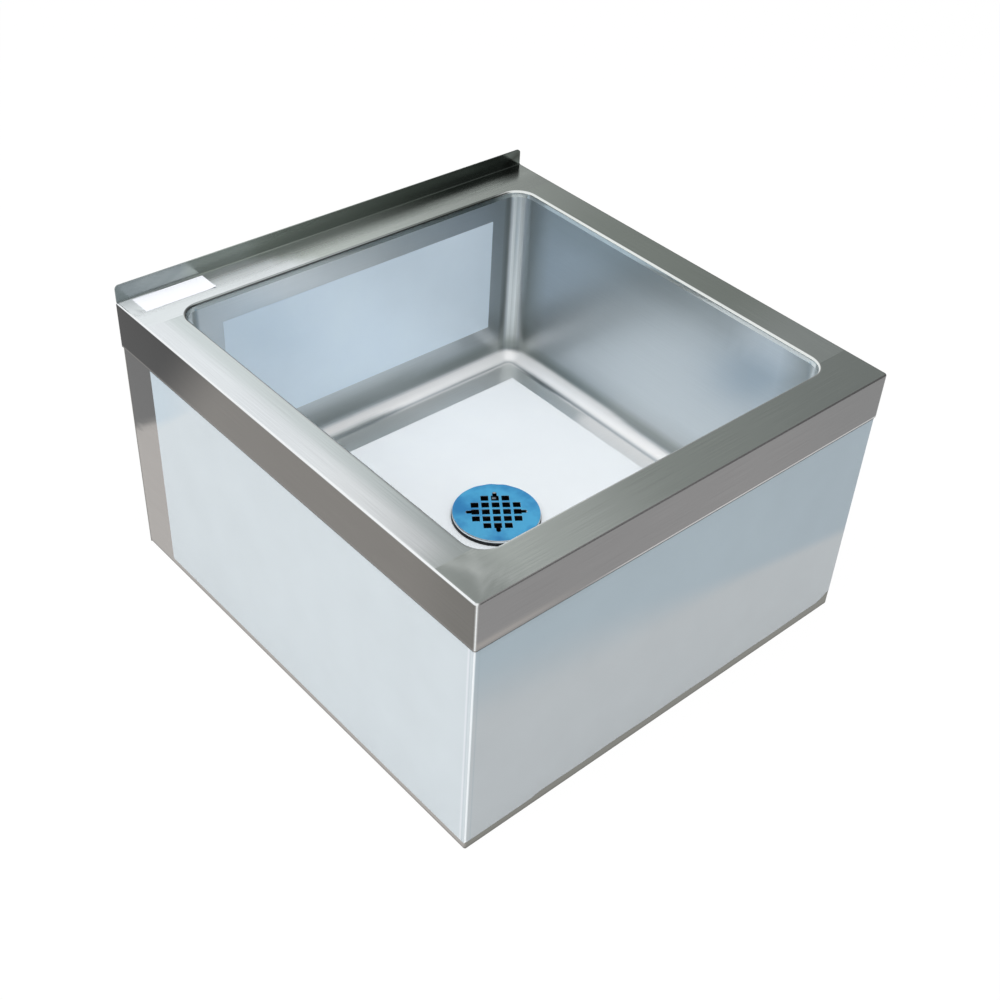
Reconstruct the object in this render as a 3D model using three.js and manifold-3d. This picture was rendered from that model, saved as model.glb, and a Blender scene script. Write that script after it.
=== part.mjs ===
// A floor-mounted mop service sink folded from 16 gauge stainless sheet, with a snap-in drain.
// Millimetres, +Z up. X runs along the front, the front faces -Y, and the splash upturn is at +Y.
// The origin is on the floor, under the middle of the deck.
import * as THREE from 'three';
import { mergeVertices } from 'three/addons/utils/BufferGeometryUtils.js';
import { ConvexGeometry } from 'three/addons/geometries/ConvexGeometry.js';
import Module from 'manifold-3d';

// ---- Driving dimensions ----

const sheet = 1.5; // wall of every folded sheet
const insideBend = 1.5; // inside radius of a folded edge
const fit = 0.3; // clearance between pieces that are welded or laid together

// Bowl
const bowlLength = 501; // inside, along X
const bowlWidth = 508; // inside, along Y
const bowlDepth = 254; // deck to the flat of the floor
const bowlCove = 20; // radius between wall and floor
const bowlCornerExtra = 5; // how much larger the radius of the upright corners is
const floorFall = 3; // how far the cross-broken floor falls to the outlet
const outletPanMargin = 7.5; // level floor round the outlet's flange
const outletOffset = 5; // the outlet's distance from the bowl's middle, along X

// Deck
const floorRoom = 92; // from the ground to the flat of the bowl's floor
const sideStrip = 44.5; // deck from the bowl to a side edge
const frontStrip = 49.5;
const backStrip = 52.5;
const cornerExtra = 1; // upright outer corners are this much rounder than the folds need
const lipHeight = 8; // rolled lip that runs down into the bowl
const apronHeight = 57; // front and side faces turned down from the deck
const upturnHeight = 21; // splash edge turned up along the back
const upturnLeftInset = 0.5; // from the deck's left edge to the upturn's left end
const upturnRightInset = 1;
const upturnCorner = 5; // radius of the upturn's two top corners

// Skirt
const baseFlange = 25; // turned in at the floor
const backReturn = 20; // the skirt's ends, turned in behind the back panel

// Bowl stiffeners, hat sections welded under the floor
const stiffenerInset = 60.5; // from the bowl's side walls to a stiffener's ends
const stiffenerSetback = 104; // from the bowl's front or back wall to a stiffener's middle
const stiffenerCrown = 40;
const stiffenerFlange = 15;
const stiffenerDepth = 25;

// Outlet body, from the pipe outwards
const pipeRadius = 30.15; // outside of the 2 inch pipe that it takes
const pipeHoleRoom = 0.85; // between that pipe and the hole in the barrel's foot
const pipeSeat = 6; // shoulder that holds the pipe gasket
const pipeGasketRoom = 0.35; // between the pipe and the gasket, before the nut squeezes it
const pipeGasketWidth = 8.2;
const pipeGasketHeight = 17;
const compressionNutRoom = 1.35; // between the pipe and the nut
const compressionNutHeight = 10;
const compressionNutNotch = 7;
const throatRoom = 15.4; // throat above the nut, where the strainer's tabs hang
const barrelWall = 4;
const flangeWidth = 11.5; // from the barrel outwards
const flangeThickness = 4;

// Parts that clamp the outlet under the floor
const sealWidth = 10.7; // from the barrel outwards
const sealThickness = 3;
const washerWidth = 9.7;
const washerThickness = 1;
const locknutWidth = 8.7;
const locknutHeight = 10;
const locknutLug = 4; // how far the eight lugs stand out
const locknutLugWidth = 12;

// Strainer
const flangeMargin = 0.5; // how far the outlet's flange shows round the strainer
const strainerThickness = 1.2;
const strainerLip = 3;
const strainerTurn = -36.5; // degrees from X to its rows of holes
const holePitch = 12.8;
const holeSize = 8.3;
const slotWidth = 5.4;
const tabClearance = 0.6; // between a snap tab and the throat
const tabWidth = 5;
const tabThickness = 1;
const tabLength = 9;

// Protective film and label
const film = 0.2; // film thickness
const filmGap = 0.1; // between film and steel
const skirtFilmTop = 3; // bare steel below the apron
const skirtFilmBottom = 10;
const skirtFilmBack = 56; // bare steel at the back of each side
const backFilmLeft = 54.5;
const backFilmRight = 44.5;
const backFilmTop = 35;
const backFilmBottom = 59;
const floorFilmSide = 38.5;
const floorFilmBack = 48;
const floorFilmFront = 48;
const floorFilmHoleMargin = 2.5; // bare steel round the outlet's flange
const labelLength = 88;
const labelWidth = 30;
const labelSide = 17; // from the deck's left edge
const labelBack = 5; // from the deck's back edge

// Facets
const cornerSteps = 8; // along a quarter of an upright corner
const coveSteps = 8; // along a cove
const bendSteps = 3; // along a folded edge
const roundSteps = 48; // round the outlet parts
const strainerSteps = 72;

// Working allowances
const over = 1; // how far a cutting shape runs past what it cuts
const overlap = 1; // how far two shapes that become one piece run into each other

// ---- Sizes that follow ----

const bend = sheet + insideBend; // outside radius of a folded edge
const deckHeight = bowlDepth + floorRoom;
const bowlCorner = bowlCove + bowlCornerExtra;
const deckCorner = Math.max(bend, 2 * sheet + fit) + cornerExtra;
const pipeGasketRadius = pipeRadius + pipeGasketRoom; // inside
const throatRadius = pipeGasketRadius + pipeGasketWidth + fit;
const barrelRadius = throatRadius + barrelWall;
const barrelLength = pipeSeat + fit + pipeGasketHeight + fit + compressionNutHeight + throatRoom;
const flangeRadius = barrelRadius + flangeWidth;
const strainerRadius = flangeRadius - flangeMargin;
const slotReach = throatRadius - tabClearance - tabThickness; // from the centre to a slot's outer end
const outletPan = flangeRadius + outletPanMargin; // half width of the level square
const bowl = {
  xLow: -bowlLength / 2,
  xHigh: bowlLength / 2,
  yLow: frontStrip - (frontStrip + bowlWidth + backStrip) / 2,
  yHigh: (frontStrip + bowlWidth + backStrip) / 2 - backStrip,
  radius: bowlCorner,
};
const deck = {
  xLow: bowl.xLow - sideStrip,
  xHigh: bowl.xHigh + sideStrip,
  yLow: bowl.yLow - frontStrip,
  yHigh: bowl.yHigh + backStrip,
  radius: deckCorner,
};
const skirt = {
  xLow: deck.xLow + sheet + fit,
  xHigh: deck.xHigh - sheet - fit,
  yLow: deck.yLow + sheet + fit,
  yHigh: deck.yHigh - sheet - fit,
  radius: deckCorner - sheet - fit,
};
const deckUnderside = deckHeight - sheet;
const apronBottom = deckHeight - apronHeight;
const lipBottom = deckHeight - lipHeight;
const floorTop = deckHeight - bowlDepth;
const outletX = outletOffset;
const outletY = (bowl.yLow + bowl.yHigh) / 2;
const outletFloorTop = floorTop - floorFall;
const outletFloorUnderside = outletFloorTop - sheet;
const flangeBottom = outletFloorTop + fit;
const flangeTop = flangeBottom + flangeThickness;
const barrelBottom = flangeBottom - barrelLength;
const strainerBottom = flangeTop + fit;
const strainerTop = strainerBottom + strainerLip;

// ---- Solids ----

const wasm = await Module();
wasm.setup();

/** A closed three.js geometry as a solid that can be joined and cut. */
function solid(geometry) {
  const bare = geometry.clone();
  bare.deleteAttribute('normal');
  bare.deleteAttribute('uv');
  const merged = mergeVertices(bare, 1e-4);
  return new wasm.Manifold(
    new wasm.Mesh({
      numProp: 3,
      vertProperties: new Float32Array(merged.attributes.position.array),
      triVerts: new Uint32Array(merged.index.array),
    }),
  );
}

/** A solid as a three.js geometry again. */
function geometryOf(shape) {
  const mesh = shape.getMesh();
  const geometry = new THREE.BufferGeometry();
  geometry.setAttribute('position', new THREE.BufferAttribute(new Float32Array(mesh.vertProperties), 3));
  geometry.setIndex(new THREE.BufferAttribute(new Uint32Array(mesh.triVerts), 1));
  return geometry;
}

/** A box between its lowest and highest corners. */
function block(low, high) {
  const size = high.map((value, axis) => value - low[axis]);
  const geometry = new THREE.BoxGeometry(...size);
  geometry.translate(...low.map((value, axis) => value + size[axis] / 2));
  return solid(geometry);
}

/** A flat outline carried straight up from one height to another. */
function prism(shape, low, high) {
  const geometry = new THREE.ExtrudeGeometry(shape, { depth: high - low, bevelEnabled: false });
  geometry.translate(0, 0, low);
  return solid(geometry);
}

/** A section in Y and Z carried along X from one place to another. */
function bar(points, xLow, xHigh) {
  const shape = new THREE.Shape(points.map(([y, z]) => new THREE.Vector2(y, z)));
  const geometry = new THREE.ExtrudeGeometry(shape, { depth: xHigh - xLow, bevelEnabled: false });
  geometry.rotateY(Math.PI / 2);
  geometry.rotateX(Math.PI / 2);
  geometry.translate(xLow, 0, 0);
  return solid(geometry);
}

/** A ring or disc turned about the outlet's axis: [radius, height] points, anticlockwise. */
function turned(points, steps = roundSteps) {
  const profile = [...points, points[0]].map(([radius, height]) => new THREE.Vector2(radius, height));
  const geometry = new THREE.LatheGeometry(profile, steps);
  geometry.rotateX(Math.PI / 2);
  geometry.translate(outletX, outletY, 0);
  return solid(geometry);
}

/** The [offset, height] points of an arc, from one angle to another in degrees. */
function arc(centre, radius, from, to, steps) {
  return Array.from({ length: steps + 1 }, (_, step) => {
    const angle = THREE.MathUtils.degToRad(from + ((to - from) * step) / steps);
    return [centre[0] + radius * Math.cos(angle), centre[1] + radius * Math.sin(angle)];
  });
}

/** Places and outward directions round a rectangle with rounded corners, anticlockwise. */
function outline(rectangle) {
  const { xLow, xHigh, yLow, yHigh, radius } = rectangle;
  const corners = [
    [xHigh - radius, yHigh - radius, 0],
    [xLow + radius, yHigh - radius, 90],
    [xLow + radius, yLow + radius, 180],
    [xHigh - radius, yLow + radius, 270],
  ];
  return corners.flatMap(([x, y, start]) =>
    arc([0, 0], 1, start, start + 90, cornerSteps).map(([dx, dy]) => ({
      x: x + radius * dx,
      y: y + radius * dy,
      dx,
      dy,
    })),
  );
}

/** The same rectangle moved outwards, as a flat shape. */
function plateShape(rectangle, offset = 0) {
  return new THREE.Shape(
    outline(rectangle).map(({ x, y, dx, dy }) => new THREE.Vector2(x + offset * dx, y + offset * dy)),
  );
}

/** A section of [outward offset, height] points, anticlockwise, carried round a rectangle. */
function frame(section, rectangle) {
  const places = outline(rectangle);
  const positions = places.flatMap(({ x, y, dx, dy }) =>
    section.flatMap(([offset, height]) => [x + offset * dx, y + offset * dy, height]),
  );
  const indices = [];
  places.forEach((_, i) => {
    const next = (i + 1) % places.length;
    section.forEach((__, j) => {
      const above = (j + 1) % section.length;
      const a = i * section.length + j;
      const b = next * section.length + j;
      const c = next * section.length + above;
      const d = i * section.length + above;
      indices.push(a, b, c, a, c, d);
    });
  });
  const geometry = new THREE.BufferGeometry();
  geometry.setAttribute('position', new THREE.Float32BufferAttribute(positions, 3));
  geometry.setIndex(indices);
  return solid(geometry);
}

/** An upright tube of sheet that follows a rectangle: its outer face at an offset, its wall inside. */
function tube(rectangle, offset, wall, low, high) {
  return frame(
    [
      [offset - wall, low],
      [offset, low],
      [offset, high],
      [offset - wall, high],
    ],
    rectangle,
  );
}

// ---- Finishes ----

const steel = () => new THREE.MeshStandardMaterial({ color: 0x9ba3a1, roughness: 0.38, metalness: 1 });
const darkSteel = () => new THREE.MeshStandardMaterial({ color: 0x85827e, roughness: 0.42, metalness: 1 });
const chrome = () => new THREE.MeshStandardMaterial({ color: 0xdfe4e6, roughness: 0.12, metalness: 1 });
const paleFilm = () => new THREE.MeshStandardMaterial({ color: 0xb9cad4, roughness: 0.35, metalness: 0 });
const blueFilm = () => new THREE.MeshStandardMaterial({ color: 0x4ba3d3, roughness: 0.3, metalness: 0 });
const paper = () => new THREE.MeshStandardMaterial({ color: 0xf3f5fb, roughness: 0.6, metalness: 0 });
const plastic = () => new THREE.MeshStandardMaterial({ color: 0x17191c, roughness: 0.45, metalness: 0 });
const rubber = () => new THREE.MeshStandardMaterial({ color: 0x202225, roughness: 0.8, metalness: 0 });
const fibre = () => new THREE.MeshStandardMaterial({ color: 0x8c6f52, roughness: 0.85, metalness: 0 });

const sink = new THREE.Group();
const strainerGroup = new THREE.Group();
sink.add(strainerGroup);

/** Adds one finished piece to a group, under the name a person would use. */
function add(name, shape, material, group = sink) {
  const mesh = new THREE.Mesh(geometryOf(shape), material);
  mesh.name = name;
  group.add(mesh);
}

// ---- Deck: flat frame, rolled bowl lip, apron on three sides, upturn at the back ----

function rimDeck() {
  const openingEdge = plateShape(bowl, bend);
  const flat = plateShape(deck, -bend);
  flat.holes.push(new THREE.Path(openingEdge.getPoints()));
  const lip = frame(
    [
      [0, lipBottom],
      [sheet, lipBottom],
      ...arc([bend, deckHeight - bend], bend - sheet, 180, 90, bendSteps),
      ...arc([bend, deckHeight - bend], bend, 90, 180, bendSteps),
    ],
    bowl,
  );
  const apron = frame(
    [
      [-sheet, apronBottom],
      [0, apronBottom],
      ...arc([-bend, deckHeight - bend], bend, 0, 90, bendSteps),
      ...arc([-bend, deckHeight - bend], bend - sheet, 90, 0, bendSteps),
    ],
    deck,
  );
  const behind = block(
    [deck.xLow + sheet, deck.yHigh - deckCorner, apronBottom - over],
    [deck.xHigh - sheet, deck.yHigh + over, deckHeight + over],
  );
  const folded = prism(flat, deckUnderside, deckHeight).add(lip).add(apron);
  return folded.subtract(behind).add(upturn());
}

function upturn() {
  const centre = [deck.yHigh - bend, deckUnderside + bend];
  const foot = deck.yHigh - deckCorner - bend;
  const top = deckHeight + upturnHeight;
  const section = [
    ...arc(centre, bend, -90, 0, bendSteps),
    [deck.yHigh, top],
    [deck.yHigh - sheet, top],
    ...arc(centre, bend - sheet, 0, -90, bendSteps),
    [foot, deckHeight],
    [foot, deckUnderside],
  ];
  const xLow = deck.xLow + upturnLeftInset;
  const xHigh = deck.xHigh - upturnRightInset;
  const face = new THREE.Shape();
  face.moveTo(xLow, deckUnderside - over);
  face.lineTo(xHigh, deckUnderside - over);
  face.lineTo(xHigh, top - upturnCorner);
  face.absarc(xHigh - upturnCorner, top - upturnCorner, upturnCorner, 0, Math.PI / 2);
  face.absarc(xLow + upturnCorner, top - upturnCorner, upturnCorner, Math.PI / 2, Math.PI);
  const corners = new THREE.ExtrudeGeometry(face, {
    depth: deck.yHigh - foot + 2 * over,
    bevelEnabled: false,
    curveSegments: cornerSteps,
  });
  corners.rotateX(Math.PI / 2);
  corners.translate(0, deck.yHigh + over, 0);
  return bar(section, xLow, xHigh).intersect(solid(corners));
}

add('rim_deck', rimDeck(), steel());

// ---- Skirt: one sheet wrapped round the front and both sides, and a panel that closes the back ----

function skirtWrap() {
  const top = deckHeight - bend;
  const walls = tube(skirt, 0, sheet, 0, top);
  const flange = prism(plateShape(skirt), 0, sheet).subtract(
    block(
      [skirt.xLow + baseFlange, skirt.yLow + baseFlange, -over],
      [skirt.xHigh - baseFlange, skirt.yHigh - baseFlange, sheet + over],
    ),
  );
  const backOpening = block(
    [skirt.xLow + backReturn, skirt.yHigh - baseFlange - over, -over],
    [skirt.xHigh - backReturn, skirt.yHigh + over, top + over],
  );
  return walls.add(flange).subtract(backOpening);
}

function backPanel() {
  const panel = block([skirt.xLow, deck.yHigh - sheet, 0], [skirt.xHigh, deck.yHigh, deckUnderside - fit]);
  const inset = Math.max(backReturn, baseFlange) + fit;
  const flange = block(
    [skirt.xLow + inset, deck.yHigh - baseFlange, 0],
    [skirt.xHigh - inset, deck.yHigh, sheet],
  );
  return panel.add(flange);
}

add('skirt_wrap', skirtWrap(), darkSteel());
add('back_panel', backPanel(), darkSteel());

// ---- Bowl: a front-floor-back wrap and two coved ends, welded and polished ----

/** The four-sided hollow that the cross-broken floor makes, its rim at a height. */
function floorHollow(rimHeight) {
  const rim = { xHalf: bowlLength / 2 - bowlCorner, yHalf: bowlWidth / 2 - bowlCorner };
  const corners = [-1, 1].flatMap((sx) => [-1, 1].map((sy) => [sx, sy]));
  const points = corners.flatMap(([sx, sy]) => [
    new THREE.Vector3(sx * rim.xHalf, outletY + sy * rim.yHalf, rimHeight + over),
    new THREE.Vector3(sx * rim.xHalf, outletY + sy * rim.yHalf, rimHeight),
    new THREE.Vector3(outletX + sx * outletPan, outletY + sy * outletPan, rimHeight - floorFall),
  ]);
  return solid(new ConvexGeometry(points));
}

function bowlShell() {
  const centre = [-bowlCove, floorTop + bowlCove];
  const walls = frame(
    [
      ...arc(centre, bowlCove + sheet, -90, 0, coveSteps),
      [sheet, lipBottom - fit],
      [0, lipBottom - fit],
      ...arc(centre, bowlCove, 0, -90, coveSteps),
    ],
    bowl,
  );
  const flat = prism(plateShape(bowl, -bowlCove), floorTop - sheet, floorTop);
  const below = floorHollow(floorTop - sheet).subtract(
    block([bowl.xLow, bowl.yLow, floorTop - sheet], [bowl.xHigh, bowl.yHigh, floorTop]),
  );
  const outlet = turned([
    [0, barrelBottom],
    [barrelRadius + fit, barrelBottom],
    [barrelRadius + fit, flangeTop],
    [0, flangeTop],
  ]);
  return walls.add(flat).add(below).subtract(floorHollow(floorTop)).subtract(outlet);
}

const shell = bowlShell();
const seamX = bowlLength / 2 - bowlCorner;
const seamBlock = (from, to) =>
  block([from, bowl.yLow - sheet - over, 0], [to, bowl.yHigh + sheet + over, deckHeight]);
add('bowl_wrap', shell.intersect(seamBlock(-seamX, seamX)), steel());
add('bowl_left_end', shell.intersect(seamBlock(bowl.xLow - sheet - over, -seamX - fit)), steel());
add('bowl_right_end', shell.intersect(seamBlock(seamX + fit, bowl.xHigh + sheet + over)), steel());

// ---- Stiffeners: hat sections whose flanges are spot welded to the underside of the floor ----

/** The height of the floor's underside, a distance along Y from the outlet. */
function undersideAt(distance) {
  const run = bowlWidth / 2 - bowlCorner - outletPan;
  const share = Math.min(1, Math.max(0, (distance - outletPan) / run));
  return floorTop - sheet - floorFall * (1 - share);
}

function stiffener(side) {
  const distance = bowlWidth / 2 - stiffenerSetback;
  const y = outletY + side * distance;
  const half = stiffenerCrown / 2;
  const top = undersideAt(distance - half - stiffenerFlange) - fit;
  const foot = top - stiffenerDepth;
  const section = [
    [-half - stiffenerFlange, top - sheet],
    [-half, top - sheet],
    [-half, foot],
    [half, foot],
    [half, top - sheet],
    [half + stiffenerFlange, top - sheet],
    [half + stiffenerFlange, top],
    [half - sheet, top],
    [half - sheet, foot + sheet],
    [-half + sheet, foot + sheet],
    [-half + sheet, top],
    [-half - stiffenerFlange, top],
  ].map(([offset, height]) => [y + offset, height]);
  return bar(section, bowl.xLow + stiffenerInset, bowl.xHigh - stiffenerInset);
}

add('front_stiffener', stiffener(-1), darkSteel());
add('back_stiffener', stiffener(1), darkSteel());

// ---- Outlet: a flanged body through the floor, clamped from below ----

function outletBody() {
  const pipeHoleRadius = pipeRadius + pipeHoleRoom;
  return turned([
    [pipeHoleRadius, barrelBottom],
    [barrelRadius, barrelBottom],
    [barrelRadius, flangeBottom],
    [flangeRadius, flangeBottom],
    [flangeRadius, flangeTop],
    [throatRadius, flangeTop],
    [throatRadius, barrelBottom + pipeSeat],
    [pipeHoleRadius, barrelBottom + pipeSeat],
  ]);
}

/** A flat ring on the outlet's axis. */
function ring(inside, outside, low, high) {
  return turned([
    [inside, low],
    [outside, low],
    [outside, high],
    [inside, high],
  ]);
}

/** A ring outside the barrel, of a width, between two heights. */
const clamp = (width, low, high) => ring(barrelRadius + fit, barrelRadius + fit + width, low, high);

const sealTop = outletFloorUnderside - fit;
const washerTop = sealTop - sealThickness - fit;
const locknutTop = washerTop - washerThickness - fit;
const pipeGasketBottom = barrelBottom + pipeSeat + fit;
const nutBottom = pipeGasketBottom + pipeGasketHeight + fit;

function locknut() {
  const radius = barrelRadius + fit + locknutWidth;
  const bottom = locknutTop - locknutHeight;
  const inside = turned([
    [0, bottom - over],
    [radius - overlap, bottom - over],
    [radius - overlap, locknutTop + over],
    [0, locknutTop + over],
  ]);
  const lugs = [0, 45, 90, 135].map((turn) => {
    const lug = new THREE.BoxGeometry(2 * (radius + locknutLug), locknutLugWidth, locknutHeight);
    lug.rotateZ(THREE.MathUtils.degToRad(turn));
    lug.translate(outletX, outletY, bottom + locknutHeight / 2);
    return solid(lug).subtract(inside);
  });
  return lugs.reduce((whole, lug) => whole.add(lug), clamp(locknutWidth, bottom, locknutTop));
}

function compressionNut() {
  const nutTop = nutBottom + compressionNutHeight;
  const body = ring(pipeRadius + compressionNutRoom, throatRadius - fit, nutBottom, nutTop);
  const notches = [0, 90].map((turn) => {
    const notch = new THREE.BoxGeometry(2 * throatRadius, compressionNutNotch, compressionNutHeight);
    notch.rotateZ(THREE.MathUtils.degToRad(turn + strainerTurn));
    notch.translate(outletX, outletY, nutTop);
    return solid(notch);
  });
  return notches.reduce((whole, notch) => whole.subtract(notch), body);
}

add('outlet_body', outletBody(), plastic());
add('floor_seal', clamp(sealWidth, sealTop - sealThickness, sealTop), rubber());
add('friction_washer', clamp(washerWidth, washerTop - washerThickness, washerTop), fibre());
add('locknut', locknut(), plastic());
add(
  'pipe_gasket',
  ring(pipeGasketRadius, throatRadius - fit, pipeGasketBottom, pipeGasketBottom + pipeGasketHeight),
  rubber(),
);
add('compression_nut', compressionNut(), plastic());

// ---- Strainer: a pierced disc with a turned-down lip and four snap tabs, and its blue film ----

/** The outlines of the square holes, in rows of 3, 5, 5, 5 and 3, grown by a clearance. */
function holeOutlines(clearance) {
  const half = holeSize / 2 + clearance;
  const outlines = [];
  for (let row = -2; row <= 2; row += 1) {
    for (let column = -2; column <= 2; column += 1) {
      const corner = Math.abs(row) + Math.abs(column) === 4;
      const slotted = Math.abs(row) + Math.abs(column) === 2 && row * column === 0;
      if (!corner) {
        const slotTurn = slotted ? Math.atan2(row, column) : null;
        outlines.push(holeOutline(column * holePitch, row * holePitch, half, slotTurn));
      }
    }
  }
  return outlines;
}

/** One square hole. The four in the middle of the outer rows run outwards into a slot. */
function holeOutline(x, y, half, slotTurn) {
  const narrow = slotWidth / 2;
  const reach = slotReach - Math.hypot(x, y);
  const slot = [
    [half, -narrow],
    [reach - narrow / 2, -narrow],
    [reach, -narrow / 2],
    [reach, narrow / 2],
    [reach - narrow / 2, narrow],
    [half, narrow],
  ];
  const farSide = slotTurn === null ? [] : slot;
  const points = [[half, -half], ...farSide, [half, half], [-half, half], [-half, -half]];
  const centre = new THREE.Vector2();
  const place = new THREE.Vector2(x, y);
  return new THREE.Shape(
    points.map(([px, py]) => new THREE.Vector2(px, py).rotateAround(centre, slotTurn ?? 0).add(place)),
  );
}

/** Turns a solid made on its own axis to the strainer's angle and sets it over the outlet. */
function overOutlet(geometry) {
  geometry.rotateZ(THREE.MathUtils.degToRad(strainerTurn));
  geometry.translate(outletX, outletY, 0);
  return solid(geometry);
}

/** A disc with the strainer's holes through it. */
function piercedDisc(radius, low, high, clearance) {
  const disc = turned(
    [
      [0, low],
      [radius, low],
      [radius, high],
      [0, high],
    ],
    strainerSteps,
  );
  const holes = holeOutlines(clearance).map((shape) => {
    const depth = high - low + 2 * over;
    const geometry = new THREE.ExtrudeGeometry(shape, { depth, bevelEnabled: false });
    geometry.translate(0, 0, low - over);
    return overOutlet(geometry);
  });
  return holes.reduce((whole, hole) => whole.subtract(hole), disc);
}

function strainer() {
  const plateBottom = strainerTop - strainerThickness;
  const edge = strainerRadius - strainerThickness;
  const lip = turned(
    [
      [edge, strainerBottom],
      [strainerRadius, strainerBottom],
      ...arc([edge, plateBottom], strainerThickness, 0, 90, bendSteps),
      [edge - overlap, strainerTop],
      [edge - overlap, plateBottom],
      [edge, plateBottom],
    ],
    strainerSteps,
  );
  const tabs = [0, 90, 180, 270].map((turn) => {
    const tab = new THREE.BoxGeometry(tabThickness, tabWidth, tabLength + strainerThickness / 2);
    tab.translate(slotReach + tabThickness / 2, 0, plateBottom + strainerThickness / 4 - tabLength / 2);
    tab.rotateZ(THREE.MathUtils.degToRad(turn));
    return overOutlet(tab);
  });
  const plate = piercedDisc(edge, plateBottom, strainerTop, 0).add(lip);
  return tabs.reduce((whole, tab) => whole.add(tab), plate);
}

const strainerFilmRadius = strainerRadius - strainerThickness;
const strainerFilmBottom = strainerTop + filmGap;
add('strainer', strainer(), chrome(), strainerGroup);
add(
  'strainer_film',
  piercedDisc(strainerFilmRadius, strainerFilmBottom, strainerFilmBottom + film, filmGap),
  blueFilm(),
  strainerGroup,
);

// ---- Protective film left on the skirt and in the bowl, and a blank label on the deck ----

function skirtFilm() {
  const wrap = tube(skirt, filmGap + film, film, skirtFilmBottom, apronBottom - skirtFilmTop);
  const behind = block([deck.xLow, deck.yHigh - skirtFilmBack, 0], [deck.xHigh, deck.yHigh, deckHeight]);
  return wrap.subtract(behind);
}

function backWallFilm() {
  const face = bowl.yHigh - filmGap;
  return block(
    [bowl.xLow + backFilmLeft, face - film, floorTop + backFilmBottom],
    [bowl.xHigh - backFilmRight, face, deckHeight - backFilmTop],
  );
}

/** Film that follows the cross-broken floor: the layer between two copies of its surface. */
function floorFilm() {
  const layer = (height) =>
    block(
      [bowl.xLow + floorFilmSide, bowl.yLow + floorFilmFront, floorTop - floorFall - bowlCove],
      [bowl.xHigh - floorFilmSide, bowl.yHigh - floorFilmBack, floorTop + height],
    ).subtract(floorHollow(floorTop + height));
  const outlet = turned([
    [0, barrelBottom],
    [flangeRadius + floorFilmHoleMargin, barrelBottom],
    [flangeRadius + floorFilmHoleMargin, strainerTop],
    [0, strainerTop],
  ]);
  return layer(filmGap + film).subtract(layer(filmGap)).subtract(outlet);
}

function label() {
  const low = deckHeight + filmGap;
  return block(
    [deck.xLow + labelSide, deck.yHigh - labelBack - labelWidth, low],
    [deck.xLow + labelSide + labelLength, deck.yHigh - labelBack, low + film],
  );
}

add('skirt_film', skirtFilm(), paleFilm());
add('back_wall_film', backWallFilm(), paleFilm());
add('bowl_floor_film', floorFilm(), paleFilm());
add('deck_label', label(), paper());

export default sink;
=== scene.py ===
# A floor-standing mop service sink folded from brushed stainless sheet, with a snap-in drain.
# After the camera, the sections follow the sink as it is made: deck, skirt, bowl, stiffeners,
# drain, strainer, films and label. The studio round it comes last.
import math

import bmesh
import bpy
import numpy as np
from mathutils import Matrix, Vector


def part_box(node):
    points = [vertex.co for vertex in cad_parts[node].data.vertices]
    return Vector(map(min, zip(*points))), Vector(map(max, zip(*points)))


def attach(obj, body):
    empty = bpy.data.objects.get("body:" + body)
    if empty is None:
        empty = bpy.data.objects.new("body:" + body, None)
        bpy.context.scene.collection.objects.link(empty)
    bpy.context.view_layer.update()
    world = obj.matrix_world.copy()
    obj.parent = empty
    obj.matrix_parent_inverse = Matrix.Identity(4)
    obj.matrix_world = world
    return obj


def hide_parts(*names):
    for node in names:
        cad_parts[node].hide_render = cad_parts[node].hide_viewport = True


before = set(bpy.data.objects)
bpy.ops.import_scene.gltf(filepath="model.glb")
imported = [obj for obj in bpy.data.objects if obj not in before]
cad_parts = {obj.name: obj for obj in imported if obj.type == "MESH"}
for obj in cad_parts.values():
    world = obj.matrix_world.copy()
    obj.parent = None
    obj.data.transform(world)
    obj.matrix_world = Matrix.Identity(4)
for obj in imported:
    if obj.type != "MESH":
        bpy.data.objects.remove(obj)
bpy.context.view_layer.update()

# ---- Camera ----
# The photograph's viewpoint: in front of the near left corner, looking down into the bowl.
# It was fitted to the sink's straight edges, and the camera leans a few degrees to its left.

mm = 0.001
sensor_width = 36  # millimetres
focal_length = 51.63
camera_place = np.array([-900.7, -971.0, 1207.8])  # millimetres
camera_azimuth, camera_elevation, camera_roll = np.radians([-46.286, 39.282, 5.465])
frame_shift = -0.06  # the photograph is cropped off-centre

looking = np.array([
    -math.sin(camera_azimuth) * math.cos(camera_elevation),
    math.cos(camera_azimuth) * math.cos(camera_elevation),
    -math.sin(camera_elevation),
])
level = np.cross(looking, [0, 0, 1])
level /= np.linalg.norm(level)
upward = np.cross(level, looking)
camera_right = level * math.cos(camera_roll) + upward * math.sin(camera_roll)
camera_up = upward * math.cos(camera_roll) - level * math.sin(camera_roll)
camera_axes = np.eye(4)
camera_axes[:3] = np.stack([camera_right, camera_up, -looking, camera_place * mm], axis=1)

scene = bpy.context.scene
camera = bpy.data.objects.new("camera", bpy.data.cameras.new("camera"))
camera.data.sensor_width = sensor_width
camera.data.lens = focal_length
camera.data.shift_x = frame_shift
camera.matrix_world = Matrix(camera_axes.tolist())
scene.collection.objects.link(camera)
scene.camera = camera

# ---- Rim deck ----
# One sheet of 16 gauge 304 stainless: a flat frame whose inner edge rolls down into the bowl.
# Its front and sides fold down as an apron, and its back folds up against the wall.

sheet = 1.5
bend = 3.0  # outside radius of the folds at the lip and at the upturn
apron_bend = 1.8
opening_radius = 25.0
joint_reach = 14.5  # from the opening's arc to the ground joint between two strips
upturn_end_radius = 5.0
front_corner_radius = 4.3  # of the deck and apron


def extent(node):
    """A CAD node's lowest and highest corners at rest, in millimetres."""
    return [np.array(corner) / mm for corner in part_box(node)]


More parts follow.
